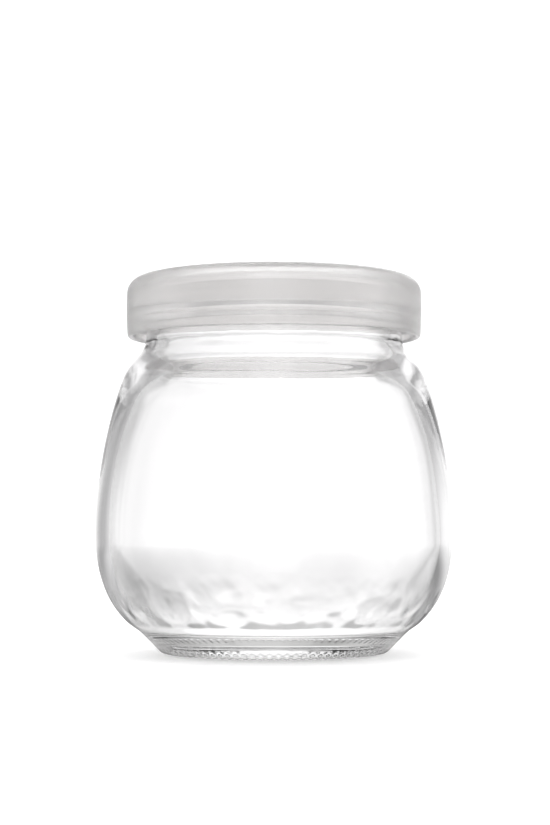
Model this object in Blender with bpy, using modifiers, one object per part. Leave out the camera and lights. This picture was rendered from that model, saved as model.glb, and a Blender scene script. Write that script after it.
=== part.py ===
"""Glass yogurt jar with a frosted push-on lid.

A squat, pear-shaped jar of clear glass on a tapered foot, closed by a plain plastic cap that
grips the bead of its mouth. Metres, +Z up. The origin is the centre of the ring the jar stands on.
Every outline is a list of (radius, height) points.
"""

import math

import bpy

# Driving dimensions of the whole
BELLY_RADIUS = 0.0381
TOTAL_HEIGHT = 0.0800
GAP = 0.0003
SEGMENTS = 60
ARC_STEPS = 4
AXIS_MERGE = 0.00001

# Outside of the jar, from the neck down, with slopes in degrees
NECK_RADIUS = 0.0274
NECK_FOOT_HEIGHT = 0.0656
SHOULDER_RADIUS = 0.0319
SHOULDER_HEIGHT = 0.0593
SHOULDER_SLOPE = 68
BELLY_HEIGHT = 0.0254
HEEL_RADIUS = 0.0311
HEEL_HEIGHT = 0.0064
HEEL_SLOPE = 45
HEEL_STEP_RADIUS = 0.0285
HEEL_STEP_HEIGHT = 0.0046
FOOT_RADIUS = 0.0249
FOOT_ROUND = 0.0010
FOOT_SLOPE = 45
RING_OUTER_RADIUS = 0.0238
RING_INNER_RADIUS = 0.0217
RING_SLOPE = 45
PUSH_UP_RADIUS = 0.0200
PUSH_UP_RISE = 0.0012
PUSH_UP_HEIGHT = 0.0019
PUSH_UP_SLOPE = 10

# Inside of the jar, from the mouth down
MOUTH_RADIUS = 0.0246
INNER_NECK_FOOT_HEIGHT = 0.0632
INNER_SHOULDER_RADIUS = 0.0294
INNER_SHOULDER_HEIGHT = 0.0555
INNER_SHOULDER_SLOPE = 65
BELLY_WALL = 0.0027
INNER_BELLY_HEIGHT = 0.0245
FLOOR_RADIUS = 0.0215
FLOOR_HEIGHT = 0.0039
FLOOR_RISE = 0.0004

# Curves between those points, each with the reach of its two ends and its number of steps
NECK_TO_SHOULDER = (0.0014, 0.0024, 7)
SHOULDER_TO_BELLY = (0.0100, 0.0105, 7)
BELLY_TO_HEEL = (0.0120, 0.0030, 8)
FOOT_TO_RING = (0.0007, 0.0006, 3)
RING_TO_PUSH_UP = (0.0010, 0.0007, 3)
PUSH_UP_TO_MIDDLE = (0.0080, 0.0070, 3)
FLOOR_TO_INNER_BELLY = (0.0068, 0.0110, 9)
INNER_BELLY_TO_SHOULDER = (0.0110, 0.0090, 7)
INNER_SHOULDER_TO_NECK = (0.0038, 0.0026, 7)

# Bead round the mouth, which the lid grips
BEAD_RADIUS = 0.0288
BEAD_HEIGHT = 0.0055
BEAD_CHAMFER = 0.0014
LIP_OUTER_ROUND = 0.0016
LIP_INNER_ROUND = 0.0012

# Lid
LID_RADIUS = 0.03165
LID_HEIGHT = 0.0130
LID_TAPER = 0.0002
LID_TAPER_HEIGHT = 0.0051
LID_CORNER = 0.0036
LID_CORNER_STEPS = 7
LID_PLATE = 0.0016
LID_WALL = 0.0015
LID_INNER_CORNER = 0.0024
RIM_ROUND = 0.0003
CATCH_RADIUS = 0.0282
CATCH_HEIGHT = 0.0037
CATCH_REACH = 0.0016
CATCH_ROUND = 0.0006
CATCH_HALF_TURN = 60

RIM_HEIGHT = TOTAL_HEIGHT - LID_HEIGHT
LIP_HEIGHT = TOTAL_HEIGHT - LID_PLATE - GAP

# Materials
GLASS_COLOUR = (0.96, 0.98, 0.97)
GLASS_ROUGHNESS = 0.02
GLASS_TRANSMISSION = 1.0
GLASS_IOR = 1.52
PLASTIC_COLOUR = (0.90, 0.89, 0.88)
PLASTIC_ROUGHNESS = 0.45
PLASTIC_TRANSMISSION = 0.7
PLASTIC_IOR = 1.5


def away(point, slope, distance):
    """The point this far from another, along a slope in degrees above the horizontal."""
    angle = math.radians(slope)
    return (point[0] + distance * math.cos(angle), point[1] + distance * math.sin(angle))


def curve(start, start_slope, end, end_slope, shape):
    """Points of a smooth curve without its start, with the direction of travel at both ends."""
    start_reach, end_reach, steps = shape
    corners = (start, away(start, start_slope, start_reach), away(end, end_slope, -end_reach), end)
    points = []
    for step in range(1, steps + 1):
        t = step / steps
        weights = ((1 - t) ** 3, 3 * (1 - t) ** 2 * t, 3 * (1 - t) * t**2, t**3)
        radius = sum(weight * corner[0] for weight, corner in zip(weights, corners))
        height = sum(weight * corner[1] for weight, corner in zip(weights, corners))
        points.append((radius, height))
    return points


def arc(centre, radius, first, last, steps=ARC_STEPS):
    """Points of a circular arc between two angles in degrees, with both ends."""
    return [away(centre, first + (last - first) * step / steps, radius) for step in range(steps + 1)]


def jar_inside():
    """Floor, heel, side, shoulder and mouth, from the middle of the floor up to the lip."""
    floor_middle = (0.0, FLOOR_HEIGHT + FLOOR_RISE)
    floor_edge = (FLOOR_RADIUS, FLOOR_HEIGHT)
    belly = (BELLY_RADIUS - BELLY_WALL, INNER_BELLY_HEIGHT)
    shoulder = (INNER_SHOULDER_RADIUS, INNER_SHOULDER_HEIGHT)
    neck_foot = (MOUTH_RADIUS, INNER_NECK_FOOT_HEIGHT)
    lip = (MOUTH_RADIUS + LIP_INNER_ROUND, LIP_HEIGHT - LIP_INNER_ROUND)
    lean = 180 - INNER_SHOULDER_SLOPE
    return [
        floor_middle,
        floor_edge,
        *curve(floor_edge, 0, belly, 90, FLOOR_TO_INNER_BELLY),
        *curve(belly, 90, shoulder, lean, INNER_BELLY_TO_SHOULDER),
        *curve(shoulder, lean, neck_foot, 90, INNER_SHOULDER_TO_NECK),
        *arc(lip, LIP_INNER_ROUND, 180, 90),
    ]


def jar_outside():
    """Lip, bead, neck, shoulder, belly, heel and foot, down to the middle of the hollow base."""
    lip = (BEAD_RADIUS - LIP_OUTER_ROUND, LIP_HEIGHT - LIP_OUTER_ROUND)
    bead_foot = (BEAD_RADIUS, LIP_HEIGHT - BEAD_HEIGHT)
    neck_head = (NECK_RADIUS, bead_foot[1] - BEAD_CHAMFER)
    neck_foot = (NECK_RADIUS, NECK_FOOT_HEIGHT)
    shoulder = (SHOULDER_RADIUS, SHOULDER_HEIGHT)
    belly = (BELLY_RADIUS, BELLY_HEIGHT)
    heel = (HEEL_RADIUS, HEEL_HEIGHT)
    foot = (FOOT_RADIUS, FOOT_ROUND)
    ring_outer = (RING_OUTER_RADIUS, 0.0)
    ring_inner = (RING_INNER_RADIUS, 0.0)
    push_up_edge = (PUSH_UP_RADIUS, PUSH_UP_RISE)
    push_up_middle = (0.0, PUSH_UP_HEIGHT)
    push_up_slope = 180 - PUSH_UP_SLOPE
    return [
        *arc(lip, LIP_OUTER_ROUND, 90, 0),
        bead_foot,
        neck_head,
        neck_foot,
        *curve(neck_foot, -90, shoulder, -SHOULDER_SLOPE, NECK_TO_SHOULDER),
        *curve(shoulder, -SHOULDER_SLOPE, belly, -90, SHOULDER_TO_BELLY),
        *curve(belly, -90, heel, HEEL_SLOPE - 180, BELLY_TO_HEEL),
        (HEEL_STEP_RADIUS, HEEL_STEP_HEIGHT),
        foot,
        *curve(foot, FOOT_SLOPE - 180, ring_outer, 180, FOOT_TO_RING),
        ring_inner,
        *curve(ring_inner, 180 - RING_SLOPE, push_up_edge, push_up_slope, RING_TO_PUSH_UP),
        *curve(push_up_edge, push_up_slope, push_up_middle, 180, PUSH_UP_TO_MIDDLE),
    ]


def lid_outline():
    """Top, corner, skirt and rim, then up the inside past the catch to the middle underneath."""
    corner = (LID_RADIUS - LID_CORNER, TOTAL_HEIGHT - LID_CORNER)
    skirt_foot = LID_RADIUS - LID_TAPER
    bore = LID_RADIUS - LID_WALL
    rim_outer = (skirt_foot - RIM_ROUND, RIM_HEIGHT + RIM_ROUND)
    rim_inner = (bore + RIM_ROUND / 2, RIM_HEIGHT)
    catch = (CATCH_RADIUS + CATCH_ROUND, RIM_HEIGHT + CATCH_HEIGHT)
    inner_corner = (bore - LID_INNER_CORNER, TOTAL_HEIGHT - LID_PLATE - LID_INNER_CORNER)
    return [
        (0.0, TOTAL_HEIGHT),
        *arc(corner, LID_CORNER, 90, 0, LID_CORNER_STEPS),
        (LID_RADIUS, RIM_HEIGHT + LID_TAPER_HEIGHT),
        *arc(rim_outer, RIM_ROUND, 0, -90),
        rim_inner,
        (bore, RIM_HEIGHT + RIM_ROUND),
        (bore, catch[1] - CATCH_REACH),
        *arc(catch, CATCH_ROUND, 180 + CATCH_HALF_TURN, 180 - CATCH_HALF_TURN),
        (bore, catch[1] + CATCH_REACH),
        *arc(inner_corner, LID_INNER_CORNER, 0, 90),
        (0.0, TOTAL_HEIGHT - LID_PLATE),
    ]


def principled(name, colour, roughness, transmission, ior):
    material = bpy.data.materials.new(name)
    material.use_nodes = True
    shader = material.node_tree.nodes["Principled BSDF"]
    shader.inputs["Base Color"].default_value = (*colour, 1.0)
    shader.inputs["Metallic"].default_value = 0.0
    shader.inputs["Roughness"].default_value = roughness
    shader.inputs["Transmission Weight"].default_value = transmission
    shader.inputs["IOR"].default_value = ior
    material.diffuse_color = (*colour, 1.0)
    return material


def turned(name, outline, material, collection):
    """One solid, turned about the vertical axis from an outline that starts and ends on it."""
    mesh = bpy.data.meshes.new(name)
    points = [(radius, 0.0, height) for radius, height in outline]
    mesh.from_pydata(points, [(i, i + 1) for i in range(len(points) - 1)], [])
    mesh.materials.append(material)
    piece = bpy.data.objects.new(name, mesh)
    collection.objects.link(piece)
    screw = piece.modifiers.new("turn", "SCREW")
    screw.axis = "Z"
    screw.steps = SEGMENTS
    screw.render_steps = SEGMENTS
    screw.use_merge_vertices = True
    screw.merge_threshold = AXIS_MERGE
    screw.use_smooth_shade = True
    return piece


def clear_scene():
    for old in list(bpy.data.objects):
        bpy.data.objects.remove(old, do_unlink=True)


def main():
    clear_scene()
    parts = bpy.data.collections.new("glass_yogurt_jar")
    bpy.context.scene.collection.children.link(parts)
    glass = principled(
        "clear_glass", GLASS_COLOUR, GLASS_ROUGHNESS, GLASS_TRANSMISSION, GLASS_IOR
    )
    plastic = principled(
        "frosted_plastic", PLASTIC_COLOUR, PLASTIC_ROUGHNESS, PLASTIC_TRANSMISSION, PLASTIC_IOR
    )
    turned("jar", jar_inside() + jar_outside(), glass, parts)
    turned("lid", lid_outline(), plastic, parts)


main()
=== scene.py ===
"""Looks of the glass yogurt jar: uneven clear glass and a frosted plastic lid, on a white floor."""

import math

import bpy
import numpy as np
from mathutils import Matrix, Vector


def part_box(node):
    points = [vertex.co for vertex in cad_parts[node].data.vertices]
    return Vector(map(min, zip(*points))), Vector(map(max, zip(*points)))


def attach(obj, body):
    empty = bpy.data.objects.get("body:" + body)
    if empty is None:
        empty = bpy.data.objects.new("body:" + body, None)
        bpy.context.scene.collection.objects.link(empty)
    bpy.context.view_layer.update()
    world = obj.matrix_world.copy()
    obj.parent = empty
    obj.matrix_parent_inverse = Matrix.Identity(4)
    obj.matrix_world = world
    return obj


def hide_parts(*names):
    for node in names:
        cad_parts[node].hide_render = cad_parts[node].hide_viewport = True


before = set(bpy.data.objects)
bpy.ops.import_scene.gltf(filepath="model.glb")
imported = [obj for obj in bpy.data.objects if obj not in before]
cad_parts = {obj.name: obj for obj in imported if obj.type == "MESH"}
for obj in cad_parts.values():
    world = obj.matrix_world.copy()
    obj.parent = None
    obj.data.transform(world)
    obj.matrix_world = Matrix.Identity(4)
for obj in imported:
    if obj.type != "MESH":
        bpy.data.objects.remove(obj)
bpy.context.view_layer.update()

# Sizes from the frame, in metres
JAR_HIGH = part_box("jar")[1]
LID_LOW, LID_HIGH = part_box("lid")
BELLY_RADIUS = JAR_HIGH[0]
LIP_HEIGHT = JAR_HIGH[2]
LID_RADIUS = LID_HIGH[0]
RIM_HEIGHT = LID_LOW[2]
TOTAL_HEIGHT = LID_HIGH[2]

# Outside of the jar, from the neck down, with slopes in degrees
NECK_RADIUS = 0.0274
NECK_FOOT_HEIGHT = 0.0656
SHOULDER_RADIUS = 0.0319
SHOULDER_HEIGHT = 0.0593
SHOULDER_SLOPE = 68
BELLY_HEIGHT = 0.0254
HEEL_RADIUS = 0.0311
HEEL_HEIGHT = 0.0064
HEEL_SLOPE = 45
HEEL_STEP_RADIUS = 0.0285
HEEL_STEP_HEIGHT = 0.0046
FOOT_RADIUS = 0.0249
FOOT_ROUND = 0.0010
FOOT_SLOPE = 45
RING_OUTER_RADIUS = 0.0238
RING_INNER_RADIUS = 0.0217
RING_SLOPE = 45
PUSH_UP_RADIUS = 0.0200
PUSH_UP_RISE = 0.0012
PUSH_UP_HEIGHT = 0.0019
PUSH_UP_SLOPE = 10

# Inside of the jar, from the mouth down
MOUTH_RADIUS = 0.0246
INNER_NECK_FOOT_HEIGHT = 0.0632
INNER_SHOULDER_RADIUS = 0.0294
INNER_SHOULDER_HEIGHT = 0.0555
INNER_SHOULDER_SLOPE = 65
BELLY_WALL = 0.0027
INNER_BELLY_HEIGHT = 0.0245
FLOOR_RADIUS = 0.0215
FLOOR_HEIGHT = 0.0039
FLOOR_RISE = 0.0004

# Curves between those points, each with the reach of its two ends
NECK_TO_SHOULDER = (0.0014, 0.0024)
SHOULDER_TO_BELLY = (0.0100, 0.0105)
BELLY_TO_HEEL = (0.0120, 0.0030)
FOOT_TO_RING = (0.0007, 0.0006)
RING_TO_PUSH_UP = (0.0010, 0.0007)
PUSH_UP_TO_MIDDLE = (0.0080, 0.0070)
FLOOR_TO_INNER_BELLY = (0.0068, 0.0110)
INNER_BELLY_TO_SHOULDER = (0.0110, 0.0090)
INNER_SHOULDER_TO_NECK = (0.0038, 0.0026)

# Bead round the mouth, which the lid grips
BEAD_RADIUS = 0.0288
BEAD_HEIGHT = 0.0055
BEAD_CHAMFER = 0.0014
LIP_OUTER_ROUND = 0.0016
LIP_INNER_ROUND = 0.0012

# Lid
LID_TAPER = 0.0002
LID_TAPER_HEIGHT = 0.0051
LID_CORNER = 0.0036
LID_PLATE = 0.0016
LID_WALL = 0.0015
LID_INNER_CORNER = 0.0024
RIM_ROUND = 0.0003
CATCH_RADIUS = 0.0282
CATCH_HEIGHT = 0.0037
CATCH_REACH = 0.0016
CATCH_ROUND = 0.0006
CATCH_HALF_TURN = 60

# Fineness of the meshes
SPACING = 0.0004
CURVE_STEPS = 24
SEGMENTS = 528
NO_LENGTH = 1e-9

# How often the outlines are softened, and the heights between which the jar's is softened further
JAR_SOFTENING = 3
LID_SOFTENING = 3
SHOULDER_SOFTENING = 20
SHOULDER_BAND = (0.046, 0.071)

# Knurls under the ring the jar stands on
KNURLS = 88
KNURL_DEPTH = 0.00025
KNURL_TOP = 0.0016

# Unevenness of the inside: height of the waves, their length round the jar, how many times shorter
# they are upwards, and the height where they are centred with their reach above and below it
INSIDE_WAVES = (
    (0.000012, 0.018, 1.0, 0.035, 0.100),
    (0.000048, 0.0065, 1.0, 0.0104, 0.0042),
    (0.000014, 0.0028, 0.8, 0.0110, 0.0040),
    (0.000010, 0.014, 3.0, 0.060, 0.008),
    (0.000020, 0.005, 1.0, 0.064, 0.0035),
)

# Waves that add up to one uneven field, and how their lengths vary
WAVE_COUNT = 40
WAVE_SPREAD = (0.6, 1.4)

# Clear glass: refraction, roughness and the scale of its changes, in waves per metre
GLASS_REFRACTION = 1.52
GLASS_ROUGHNESS = (0.0, 0.03)
GLASS_SCALE = 120

# Rougher glass of the mottled heel: the height of its middle, its reach and its roughness
MOTTLED_HEIGHT = 0.0115
MOTTLED_REACH = 0.0060
MOTTLED_ROUGHNESS = 0.10

# Frosted plastic: colours, roughness and surface grain, with the scale of their changes
PLASTIC_CLEARNESS = 0.82
PLASTIC_REFRACTION = 1.5
PLASTIC_DARK = (0.985, 0.972, 0.967)
PLASTIC_LIGHT = (0.995, 0.985, 0.98)
PLASTIC_SCALE = 60
PLASTIC_ROUGHNESS = (0.15, 0.30)
PLASTIC_STREAKS = (1.0, 1.0, 20.0)
GRAIN_SCALE = 3000
GRAIN_STRENGTH = 0.2
GRAIN_HEIGHT = 0.00005

# Camera: beside and in front of the jar's axis, eye level, upward tilt, lens and sensor
CAMERA_SIDE = 0.0002
CAMERA_DISTANCE = 0.4080
CAMERA_HEIGHT = 0.0292
CAMERA_TILT = 3.08
CAMERA_LENS = 83.08
SENSOR = 36

# Floor and sky
FLOOR_SIZE = 3.0
FLOOR_DROP = 0.0004
FLOOR_COLOUR = (0.92, 0.92, 0.92)
FLOOR_ROUGHNESS = 0.9
FLOOR_GLOW = 0.3
WHITE = (1.0, 1.0, 1.0)
SKY = 1.25

# Bounces of light in all and through glass, and off mirrors
LIGHT_BOUNCES = 32
MIRROR_BOUNCES = 16

# Light tent round the jar, seen only by the glass and the plastic
TENT_RADIUS = 1.0
TENT_HEIGHT = 1.2
TENT_DROP = 0.0002
TENT_SEGMENTS = 96
TENT_TINT = (0.975, 0.975, 1.0)
# Degrees in a quarter, and the whole quarters that keep every direction's turn above zero
QUARTER = 90
WHOLE_QUARTERS = 2
# Four like quarters, each round a white panel: degrees from the panel's middle, brightness of the
# wall's foot and of its top
TENT_PANEL = (
    (-45, 0.80, 0.62),
    (-37, 0.44, 0.38),
    (-28, 0.48, 0.46),
    (-23, 0.60, 0.48),
    (-20, 0.92, 0.54),
    (-16, 0.96, 0.92),
    (-12, 1.00, 0.98),
    (-9, 1.07, 1.05),
    (-3, 1.25, 1.25),
    (16, 1.25, 1.25),
    (20, 1.15, 1.10),
    (24, 0.78, 0.50),
    (28, 1.12, 0.56),
    (36, 1.05, 0.50),
    (45, 0.80, 0.62),
)
# Distances from the jar between which the ground goes from even to as bright as the wall behind it
TENT_EVEN = (0.0, 0.05)
# Heights between which the wall's brightness goes from that of its foot to that of its top
TENT_CHANGE = (0.06, 0.25)
# Share of the brightness that lies on the ground, by the distance from the jar in metres: darker near
# the jar, painted shade that stands for the jar's shadow on the ground, seen only by the glass and
# the plastic
TENT_GROUND_SHADE = (
    (0.0, 0.60),
    (0.02, 0.60),
    (0.035, 0.46),
    (0.05, 0.50),
    (0.13, 0.68),
    (0.2, 0.80),
    (0.4, 0.87),
    (0.95, 1.0),
    (1.0, 1.0),
)
GROUND_TINT = (1.0, 0.995, 0.975)


def away(point, slope, distance):
    """The point this far from another, along a slope in degrees above the horizontal."""
    angle = math.radians(slope)
    return (point[0] + distance * math.cos(angle), point[1] + distance * math.sin(angle))


def curve(start, start_slope, end, end_slope, reach):
    """Points of a smooth curve without its start, with the direction of travel at both ends."""
    corners = (start, away(start, start_slope, reach[0]), away(end, end_slope, -reach[1]), end)
    points = []
    for step in range(1, CURVE_STEPS + 1):
        t = step / CURVE_STEPS
        weights = ((1 - t) ** 3, 3 * (1 - t) ** 2 * t, 3 * (1 - t) * t**2, t**3)
        radius = sum(weight * corner[0] for weight, corner in zip(weights, corners))
        height = sum(weight * corner[1] for weight, corner in zip(weights, corners))
        points.append((radius, height))
    return points


def arc(centre, radius, first, last):
    """Points of a circular arc between two angles in degrees, with both ends."""
    turn = (last - first) / CURVE_STEPS
    return [away(centre, first + turn * step, radius) for step in range(CURVE_STEPS + 1)]


def jar_inside():
    """Floor, heel, side, shoulder and mouth, from the middle of the floor up to the lip."""
    floor_middle = (0.0, FLOOR_HEIGHT + FLOOR_RISE)
    floor_edge = (FLOOR_RADIUS, FLOOR_HEIGHT)
    belly = (BELLY_RADIUS - BELLY_WALL, INNER_BELLY_HEIGHT)
    shoulder = (INNER_SHOULDER_RADIUS, INNER_SHOULDER_HEIGHT)
    neck_foot = (MOUTH_RADIUS, INNER_NECK_FOOT_HEIGHT)
    lip = (MOUTH_RADIUS + LIP_INNER_ROUND, LIP_HEIGHT - LIP_INNER_ROUND)
    lean = 180 - INNER_SHOULDER_SLOPE
    return [
        floor_middle,
        floor_edge,
        *curve(floor_edge, 0, belly, 90, FLOOR_TO_INNER_BELLY),
        *curve(belly, 90, shoulder, lean, INNER_BELLY_TO_SHOULDER),
        *curve(shoulder, lean, neck_foot, 90, INNER_SHOULDER_TO_NECK),
        *arc(lip, LIP_INNER_ROUND, 180, 90),
    ]


def jar_outside():
    """Lip, bead, neck, shoulder, belly, heel and foot, down to the middle of the hollow base."""
    lip = (BEAD_RADIUS - LIP_OUTER_ROUND, LIP_HEIGHT - LIP_OUTER_ROUND)
    bead_foot = (BEAD_RADIUS, LIP_HEIGHT - BEAD_HEIGHT)
    neck_head = (NECK_RADIUS, bead_foot[1] - BEAD_CHAMFER)
    neck_foot = (NECK_RADIUS, NECK_FOOT_HEIGHT)
    shoulder = (SHOULDER_RADIUS, SHOULDER_HEIGHT)
    belly = (BELLY_RADIUS, BELLY_HEIGHT)
    heel = (HEEL_RADIUS, HEEL_HEIGHT)
    foot = (FOOT_RADIUS, FOOT_ROUND)
    ring_outer = (RING_OUTER_RADIUS, 0.0)
    ring_inner = (RING_INNER_RADIUS, 0.0)
    push_up_edge = (PUSH_UP_RADIUS, PUSH_UP_RISE)
    push_up_middle = (0.0, PUSH_UP_HEIGHT)
    push_up_slope = 180 - PUSH_UP_SLOPE
    return [
        *arc(lip, LIP_OUTER_ROUND, 90, 0),
        bead_foot,
        neck_head,
        neck_foot,
        *curve(neck_foot, -90, shoulder, -SHOULDER_SLOPE, NECK_TO_SHOULDER),
        *curve(shoulder, -SHOULDER_SLOPE, belly, -90, SHOULDER_TO_BELLY),
        *curve(belly, -90, heel, HEEL_SLOPE - 180, BELLY_TO_HEEL),
        (HEEL_STEP_RADIUS, HEEL_STEP_HEIGHT),
        foot,
        *curve(foot, FOOT_SLOPE - 180, ring_outer, 180, FOOT_TO_RING),
        ring_inner,
        *curve(ring_inner, 180 - RING_SLOPE, push_up_edge, push_up_slope, RING_TO_PUSH_UP),
        *curve(push_up_edge, push_up_slope, push_up_middle, 180, PUSH_UP_TO_MIDDLE),
    ]


def lid_outline():
    """Top, corner, skirt and rim, then up the inside past the catch to the middle underneath."""
    corner = (LID_RADIUS - LID_CORNER, TOTAL_HEIGHT - LID_CORNER)
    skirt_foot = LID_RADIUS - LID_TAPER
    bore = LID_RADIUS - LID_WALL
    rim_outer = (skirt_foot - RIM_ROUND, RIM_HEIGHT + RIM_ROUND)
    rim_inner = (bore + RIM_ROUND / 2, RIM_HEIGHT)
    catch = (CATCH_RADIUS + CATCH_ROUND, RIM_HEIGHT + CATCH_HEIGHT)
    inner_corner = (bore - LID_INNER_CORNER, TOTAL_HEIGHT - LID_PLATE - LID_INNER_CORNER)
    return [
        (0.0, TOTAL_HEIGHT),
        *arc(corner, LID_CORNER, 90, 0),
        (LID_RADIUS, RIM_HEIGHT + LID_TAPER_HEIGHT),
        *arc(rim_outer, RIM_ROUND, 0, -90),
        rim_inner,
        (bore, RIM_HEIGHT + RIM_ROUND),
        (bore, catch[1] - CATCH_REACH),
        *arc(catch, CATCH_ROUND, 180 + CATCH_HALF_TURN, 180 - CATCH_HALF_TURN),
        (bore, catch[1] + CATCH_REACH),
        *arc(inner_corner, LID_INNER_CORNER, 0, 90),
        (0.0, TOTAL_HEIGHT - LID_PLATE),
    ]


def evenly(outline):
    """The outline as evenly spaced points."""
    corners = np.array(outline)
    lengths = np.hypot(*np.diff(corners, axis=0).T)
    corners = corners[np.r_[True, lengths > NO_LENGTH]]
    along = np.r_[0.0, np.cumsum(np.hypot(*np.diff(corners, axis=0).T))]
    places = np.linspace(0.0, along[-1], round(along[-1] / SPACING) + 1)
    return np.stack([np.interp(places, along, corners[:, i]) for i in (0, 1)], axis=1)


def softened(points, times, low=-math.inf, high=math.inf):
    """The outline, its points between two heights drawn this many times towards their neighbours."""
    for _ in range(times):
        middles = (points[:-2] + 2 * points[1:-1] + points[2:]) / 4
        near = (points[1:-1, 1:] > low) & (points[1:-1, 1:] < high)
        points = np.concatenate([points[:1], np.where(near, middles, points[1:-1]), points[-1:]])
    return points


def waves(points, length, seed):
    """A smooth random field over points in space, about one high, with waves of this length."""
    draw = np.random.default_rng(seed)
    directions = draw.normal(size=(WAVE_COUNT, 3))
    directions /= np.linalg.norm(directions, axis=1)[:, None]
    numbers = 2 * math.pi / length * draw.uniform(*WAVE_SPREAD, WAVE_COUNT)
    phases = draw.uniform(0, 2 * math.pi, WAVE_COUNT)
    field = np.zeros(points.shape[:-1])
    for direction, number, phase in zip(directions, numbers, phases):
        field += np.cos(points @ (direction * number) + phase)
    return field * math.sqrt(2 / WAVE_COUNT)


def turned(name, outline, relief, material):
    """A closed piece turned about the axis from an outline that keeps the solid on its right,
    each point raised from the surface by its relief."""
    along = np.gradient(outline, axis=0)
    along /= np.linalg.norm(along, axis=1)[:, None]
    normals = np.stack([-along[:, 1], along[:, 0]], axis=1)
    angles = np.linspace(0, 2 * math.pi, SEGMENTS, endpoint=False)
    spokes = np.stack([np.cos(angles), np.sin(angles)], axis=1)

    def swept(flat):
        """Points (row, segment, xyz) of an outline turned about the axis."""
        level = flat[:, None, :1] * spokes[None]
        height = np.broadcast_to(flat[:, None, 1:], level.shape[:2] + (1,))
        return np.concatenate([level, height], axis=2)

    places = swept(outline)
    heights = relief(places, angles)
    heights[[0, -1]] = 0.0
    rings = places + swept(normals) * heights[:, :, None]
    inner = rings[1:-1]
    rows = len(inner)
    first, last = rows * SEGMENTS, rows * SEGMENTS + 1
    vertices = np.concatenate([inner.reshape(-1, 3), rings[0, :1], rings[-1, :1]])
    index = np.arange(rows * SEGMENTS).reshape(rows, SEGMENTS)
    turn = np.roll(index, -1, axis=1)
    quads = np.stack([index[:-1], index[1:], turn[1:], turn[:-1]], axis=2).reshape(-1, 4)
    start_fan = [(first, a, b) for a, b in zip(index[0], turn[0])]
    end_fan = [(last, b, a) for a, b in zip(index[-1], turn[-1])]
    mesh = bpy.data.meshes.new(name)
    mesh.from_pydata(vertices.tolist(), [], quads.tolist() + start_fan + end_fan)
    mesh.polygons.foreach_set("use_smooth", [True] * len(mesh.polygons))
    mesh.materials.append(material)
    mesh.update()
    piece = bpy.data.objects.new(name, mesh)
    bpy.context.collection.objects.link(piece)
    return piece


def new_material(name):
    """A material with its node tree and shader."""
    material = bpy.data.materials.new(name)
    material.use_nodes = True
    tree = material.node_tree
    return material, tree, tree.nodes["Principled BSDF"]


def maths(tree, operation, *values):
    """A node that works out one sum from numbers or from other nodes' outputs."""
    node = tree.nodes.new("ShaderNodeMath")
    node.operation = operation
    for socket, value in zip(node.inputs, values):
        if isinstance(value, (int, float)):
            socket.default_value = value
        else:
            tree.links.new(value, socket)
    return node.outputs["Value"]


def place(tree):
    """The three coordinates of a point on the object."""
    coordinates = tree.nodes.new("ShaderNodeTexCoord")
    split = tree.nodes.new("ShaderNodeSeparateXYZ")
    tree.links.new(coordinates.outputs["Object"], split.inputs["Vector"])
    return [split.outputs[axis] for axis in "XYZ"]


def noise(tree, scale, stretch=(1.0, 1.0, 1.0)):
    """Noise over the object's own coordinates, waves per metre, finer where the stretch is larger."""
    coordinates = tree.nodes.new("ShaderNodeTexCoord")
    stretched = tree.nodes.new("ShaderNodeVectorMath")
    stretched.operation = "MULTIPLY"
    stretched.inputs[1].default_value = stretch
    texture = tree.nodes.new("ShaderNodeTexNoise")
    texture.inputs["Scale"].default_value = scale
    tree.links.new(coordinates.outputs["Object"], stretched.inputs[0])
    tree.links.new(stretched.outputs["Vector"], texture.inputs["Vector"])
    return texture.outputs["Fac"]


def between(tree, factor, low, high, start=0.0, end=1.0):
    """A number between two values that follows a factor from its start to its end."""
    node = tree.nodes.new("ShaderNodeMapRange")
    node.inputs["From Min"].default_value = start
    node.inputs["From Max"].default_value = end
    node.inputs["To Min"].default_value = low
    node.inputs["To Max"].default_value = high
    tree.links.new(factor, node.inputs["Value"])
    return node.outputs["Result"]


def mixed(tree, factor, low, high):
    """A colour that follows a factor between two colours."""
    node = tree.nodes.new("ShaderNodeMix")
    node.data_type = "RGBA"
    for name, colour in (("A", low), ("B", high)):
        if isinstance(colour, tuple):
            node.inputs[name].default_value = (*colour, 1.0)
        else:
            tree.links.new(colour, node.inputs[name])
    tree.links.new(factor, node.inputs["Factor"])
    return node.outputs["Result"]


def bumped(tree, shader, factor, strength, distance):
    """Raises the shaded surface by a factor."""
    node = tree.nodes.new("ShaderNodeBump")
    node.inputs["Strength"].default_value = strength
    node.inputs["Distance"].default_value = distance
    tree.links.new(factor, node.inputs["Height"])
    tree.links.new(node.outputs["Normal"], shader.inputs["Normal"])


def clear_glass():
    """Glass that is a little rougher in places, and most of all round the mottled heel."""
    material, tree, shader = new_material("clear_glass")
    shader.inputs["Base Color"].default_value = (*WHITE, 1.0)
    shader.inputs["Transmission Weight"].default_value = 1.0
    shader.inputs["IOR"].default_value = GLASS_REFRACTION
    height = place(tree)[2]
    from_heel = maths(tree, "ABSOLUTE", maths(tree, "SUBTRACT", height, MOTTLED_HEIGHT))
    in_heel = maths(tree, "SUBTRACT", 1.0, maths(tree, "DIVIDE", from_heel, MOTTLED_REACH))
    blur = maths(tree, "MULTIPLY", maths(tree, "MAXIMUM", in_heel, 0.0), MOTTLED_ROUGHNESS)
    fine = between(tree, noise(tree, GLASS_SCALE), *GLASS_ROUGHNESS)
    tree.links.new(maths(tree, "ADD", blur, fine), shader.inputs["Roughness"])
    return material


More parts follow.
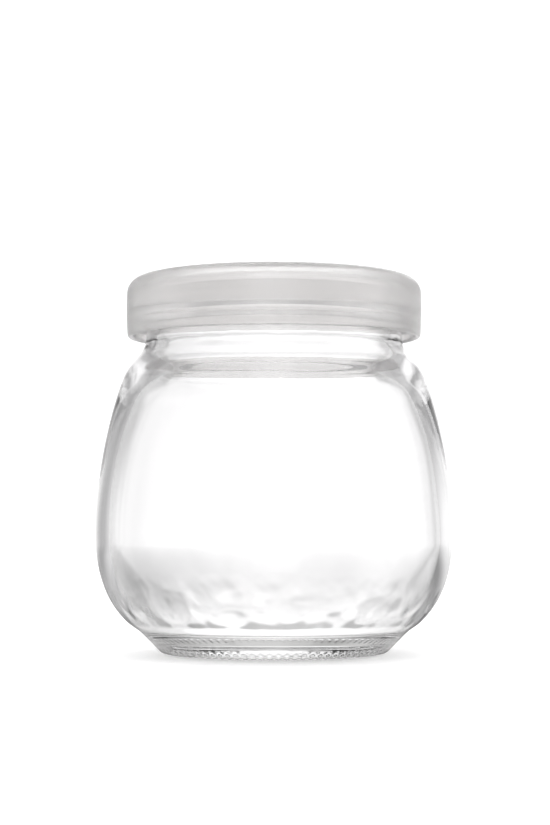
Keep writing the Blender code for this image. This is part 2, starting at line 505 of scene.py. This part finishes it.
def frosted_plastic():
    """Cloudy plastic with level streaks and a fine grain."""
    material, tree, shader = new_material("frosted_plastic")
    shader.inputs["Transmission Weight"].default_value = PLASTIC_CLEARNESS
    shader.inputs["IOR"].default_value = PLASTIC_REFRACTION
    colour = mixed(tree, noise(tree, PLASTIC_SCALE), PLASTIC_DARK, PLASTIC_LIGHT)
    tree.links.new(colour, shader.inputs["Base Color"])
    streaks = noise(tree, PLASTIC_SCALE, PLASTIC_STREAKS)
    tree.links.new(between(tree, streaks, *PLASTIC_ROUGHNESS), shader.inputs["Roughness"])
    bumped(tree, shader, noise(tree, GRAIN_SCALE), GRAIN_STRENGTH, GRAIN_HEIGHT)
    return material


def jar_relief(inside_rows):
    """Uneven inside, left by the blown air, and knurls round the ring the jar stands on."""

    def relief(places, angles):
        """Height above the even surface, by row and segment."""
        rise = np.zeros(places.shape[:2])
        inside = places[:inside_rows]
        for seed, (height, length, flatness, middle, reach) in enumerate(INSIDE_WAVES):
            near = np.clip(1 - np.abs(inside[:, :, 2] - middle) / reach, 0, 1)
            rise[:inside_rows] += height * near * waves(inside * (1, 1, flatness), length, seed)
        outside = places[inside_rows:]
        radius = np.hypot(outside[:, :, 0], outside[:, :, 1])
        near_ring = np.clip(1 - outside[:, :, 2] / KNURL_TOP, 0, 1) * (radius > RING_INNER_RADIUS)
        rise[inside_rows:] = -KNURL_DEPTH * near_ring * (0.5 + 0.5 * np.cos(KNURLS * angles))
        return rise

    return relief


def plain_relief(places, angles):
    """No relief, for an even surface."""
    return np.zeros(places.shape[:2])


def make_jar():
    """The glass jar, in place of the plain solid."""
    inside_rows = len(evenly(jar_inside()))
    outline = softened(evenly(jar_inside() + jar_outside()), JAR_SOFTENING)
    outline = softened(outline, SHOULDER_SOFTENING, *SHOULDER_BAND)
    jar = turned("glass_jar", outline, jar_relief(inside_rows), clear_glass())
    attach(jar, "root")
    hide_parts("jar")


def make_lid():
    """The plastic lid, in place of the plain solid."""
    outline = softened(evenly(lid_outline()), LID_SOFTENING)
    lid = turned("plastic_lid", outline, plain_relief, frosted_plastic())
    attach(lid, "root")
    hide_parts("lid")


def make_floor():
    """A wide white floor, just under the jar."""
    mesh = bpy.data.meshes.new("floor")
    signs = ((-1, -1), (1, -1), (1, 1), (-1, 1))
    corners = [(x * FLOOR_SIZE, y * FLOOR_SIZE, -FLOOR_DROP) for x, y in signs]
    mesh.from_pydata(corners, [], [(0, 1, 2, 3)])
    material, tree, shader = new_material("white_floor")
    shader.inputs["Base Color"].default_value = (*FLOOR_COLOUR, 1.0)
    shader.inputs["Roughness"].default_value = FLOOR_ROUGHNESS
    shader.inputs["Emission Color"].default_value = (*WHITE, 1.0)
    shader.inputs["Emission Strength"].default_value = FLOOR_GLOW
    mesh.materials.append(material)
    floor = bpy.data.objects.new("floor", mesh)
    bpy.context.collection.objects.link(floor)


def ramped(tree, value, pairs, tint):
    """A tinted brightness that follows a value between 0 and 1 through pairs of both."""
    ramp = tree.nodes.new("ShaderNodeValToRGB")
    stops = ramp.color_ramp.elements
    stops[0].position, stops[1].position = pairs[0][0], pairs[-1][0]
    for position, _ in pairs[1:-1]:
        stops.new(position)
    for stop, (_, brightness) in zip(stops, pairs):
        stop.color = (*(brightness * share for share in tint), 1.0)
    tree.links.new(value, ramp.inputs["Fac"])
    return ramp.outputs["Color"]


def tent_material():
    """Brightness by compass direction and height on the wall, and by distance on the ground, where it
    is darker near the jar as painted shade of the jar's shadow.
    """
    material = bpy.data.materials.new("light_tent")
    material.use_nodes = True
    tree = material.node_tree
    tree.nodes.clear()
    east, north, height = place(tree)
    quarters = maths(tree, "DIVIDE", maths(tree, "ARCTAN2", east, north), math.radians(QUARTER))
    turn = maths(tree, "FRACT", maths(tree, "ADD", quarters, WHOLE_QUARTERS + 0.5))
    foot_stops = [(angle / QUARTER + 0.5, brightness) for angle, brightness, _ in TENT_PANEL]
    top_stops = [(angle / QUARTER + 0.5, brightness) for angle, _, brightness in TENT_PANEL]
    foot = ramped(tree, turn, foot_stops, TENT_TINT)
    top = ramped(tree, turn, top_stops, TENT_TINT)
    wall = mixed(tree, between(tree, height, 0.0, 1.0, *TENT_CHANGE), foot, top)
    east_square = maths(tree, "MULTIPLY", east, east)
    distance = maths(tree, "SQRT", maths(tree, "MULTIPLY_ADD", north, north, east_square))
    around = mixed(tree, between(tree, distance, 0.0, 1.0, *TENT_EVEN), WHITE, wall)
    both = tree.nodes.new("ShaderNodeVectorMath")
    both.operation = "MULTIPLY"
    tree.links.new(around, both.inputs[0])
    # The ground's share is darker near the jar: painted shade of the jar's shadow on the ground, seen
    # only through the glass and the plastic
    tree.links.new(ramped(tree, distance, TENT_GROUND_SHADE, GROUND_TINT), both.inputs[1])
    glow = tree.nodes.new("ShaderNodeEmission")
    tree.links.new(both.outputs["Vector"], glow.inputs["Color"])
    output = tree.nodes.new("ShaderNodeOutputMaterial")
    tree.links.new(glow.outputs["Emission"], output.inputs["Surface"])
    return material


def make_tent():
    """A tent of light and shade, unseen by the camera, that draws the edges of the glass."""
    mesh = bpy.data.meshes.new("light_tent")
    angles = [2 * math.pi * i / TENT_SEGMENTS for i in range(TENT_SEGMENTS)]
    ring = [(TENT_RADIUS * math.sin(a), TENT_RADIUS * math.cos(a)) for a in angles]
    vertices = [(x, y, z) for z in (-TENT_DROP, TENT_HEIGHT) for x, y in ring]
    faces = [tuple(range(TENT_SEGMENTS))]
    for i in range(TENT_SEGMENTS):
        j = (i + 1) % TENT_SEGMENTS
        faces.append((i, j, j + TENT_SEGMENTS, i + TENT_SEGMENTS))
    mesh.from_pydata(vertices, [], faces)
    mesh.materials.append(tent_material())
    tent = bpy.data.objects.new("light_tent", mesh)
    tent.visible_camera = False
    tent.visible_diffuse = False
    tent.visible_shadow = False
    bpy.context.collection.objects.link(tent)


def light_surroundings():
    """An even white sky, which lights the floor and the lid."""
    world = bpy.data.worlds.new("studio")
    world.use_nodes = True
    world.node_tree.nodes["Background"].inputs["Color"].default_value = (SKY, SKY, SKY, 1.0)
    bpy.context.scene.world = world


def make_camera():
    """The camera at the photographed angle, looking along +Y and slightly up."""
    data = bpy.data.cameras.new("camera")
    data.lens = CAMERA_LENS
    data.sensor_width = SENSOR
    camera = bpy.data.objects.new("camera", data)
    camera.location = (CAMERA_SIDE, -CAMERA_DISTANCE, CAMERA_HEIGHT)
    camera.rotation_euler = (math.radians(90 + CAMERA_TILT), 0, 0)
    bpy.context.collection.objects.link(camera)
    bpy.context.scene.camera = camera


def set_look():
    """Plain colours, and enough bounces for light to get through all the glass."""
    scene = bpy.context.scene
    scene.view_settings.view_transform = "Standard"
    scene.cycles.max_bounces = LIGHT_BOUNCES
    scene.cycles.transmission_bounces = LIGHT_BOUNCES
    scene.cycles.glossy_bounces = MIRROR_BOUNCES
    scene.cycles.use_denoising = True


make_jar()
make_lid()
make_floor()
make_tent()
light_surroundings()
make_camera()
set_look()
